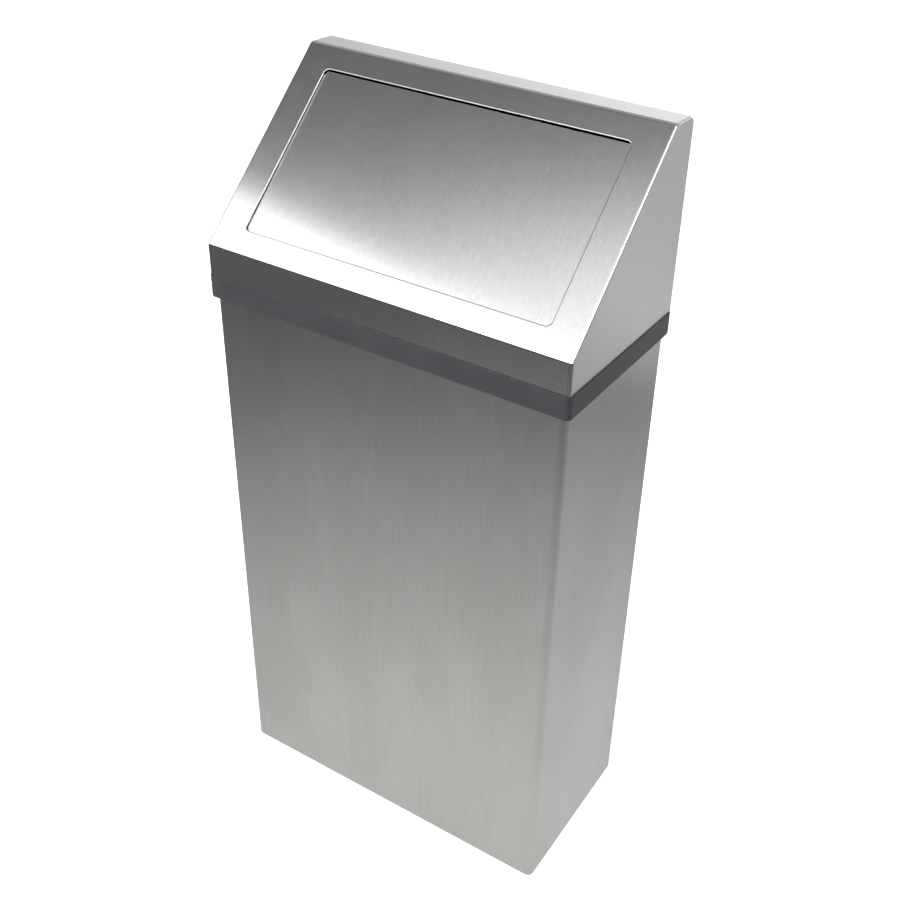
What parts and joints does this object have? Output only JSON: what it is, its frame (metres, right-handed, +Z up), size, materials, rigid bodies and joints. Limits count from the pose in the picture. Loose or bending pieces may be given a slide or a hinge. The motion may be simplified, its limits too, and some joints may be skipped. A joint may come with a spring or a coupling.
{
  "type": "wall-mounted waste bin",
  "caption": "Brushed stainless wall bin: deep folded body, rubber band round its rim, lift-off sloping hood with a sprung push flap, and a removable rigid liner.",
  "frame": {"origin": "middle of the bounding box at the flat bottom of the body", "axes": "+X to the right seen from the front, front faces -Y, wall at +Y, +Z up"},
  "size_m": [0.3774, 0.1882, 0.766],
  "materials": {
    "body_steel": "satin, fine upright grain",
    "hood_steel": "satin, fine grain up the slope",
    "flap_steel": "satin, fine grain up the slope",
    "plain_steel": "mill finish sheet",
    "hardware_steel": "bright zinc plate",
    "spring_steel": "drawn spring wire",
    "band_rubber": "matt moulded rubber",
    "stop_rubber": "matt black rubber",
    "liner_plastic": "fine moulded texture"
  },
  "bodies": {
    "cabinet": {"body_wrap": "body_steel", "back_panel": "plain_steel", "bottom_pan": "plain_steel", "lower_mounting_bar": "plain_steel", "upper_mounting_bar": "plain_steel", "mounting_bar_rivets": "hardware_steel", "wall_spacers": "hardware_steel", "edge_band": "band_rubber"},
    "liner": {"liner": "liner_plastic"},
    "hood": {"hood_wrap": "hood_steel", "hood_side_right": "hood_steel", "hood_side_left": "hood_steel", "locating_tabs": "plain_steel", "hinge_bracket_right": "plain_steel", "hinge_bracket_left": "plain_steel", "bracket_studs": "hardware_steel", "bracket_nuts": "hardware_steel", "hinge_rod": "hardware_steel", "rod_clips": "spring_steel", "spring_collars": "hardware_steel", "opening_stops": "stop_rubber", "closing_pads": "stop_rubber"},
    "flap": {"flap_panel": "flap_steel", "flap_hinge_right": "plain_steel", "flap_hinge_left": "plain_steel", "flap_stiffener": "plain_steel", "torsion_spring_right": "spring_steel", "torsion_spring_left": "spring_steel"}
  },
  "joints": [
    {"name": "hood_lift", "type": "slide", "parent": "cabinet", "child": "hood", "axis": [0, 0, 1], "range_m": [0, 0.72]},
    {"name": "liner_lift", "type": "slide", "parent": "cabinet", "child": "liner", "axis": [0, 0, 1], "range_m": [0, 0.612]},
    {"name": "flap_swing", "type": "hinge", "parent": "hood", "child": "flap", "pos_m": [0, 0.04327, 0.73936], "axis": [1, 0, 0], "range_deg": [0, 45], "stiffness_Nm_per_rad": 0.5, "springref_deg": -80.21, "deforming": ["torsion_spring_right", "torsion_spring_left"]}
  ],
  "couplings": [
    {"joint": "liner_lift", "follows": "hood_lift", "ratio": 0.85}
  ]
}
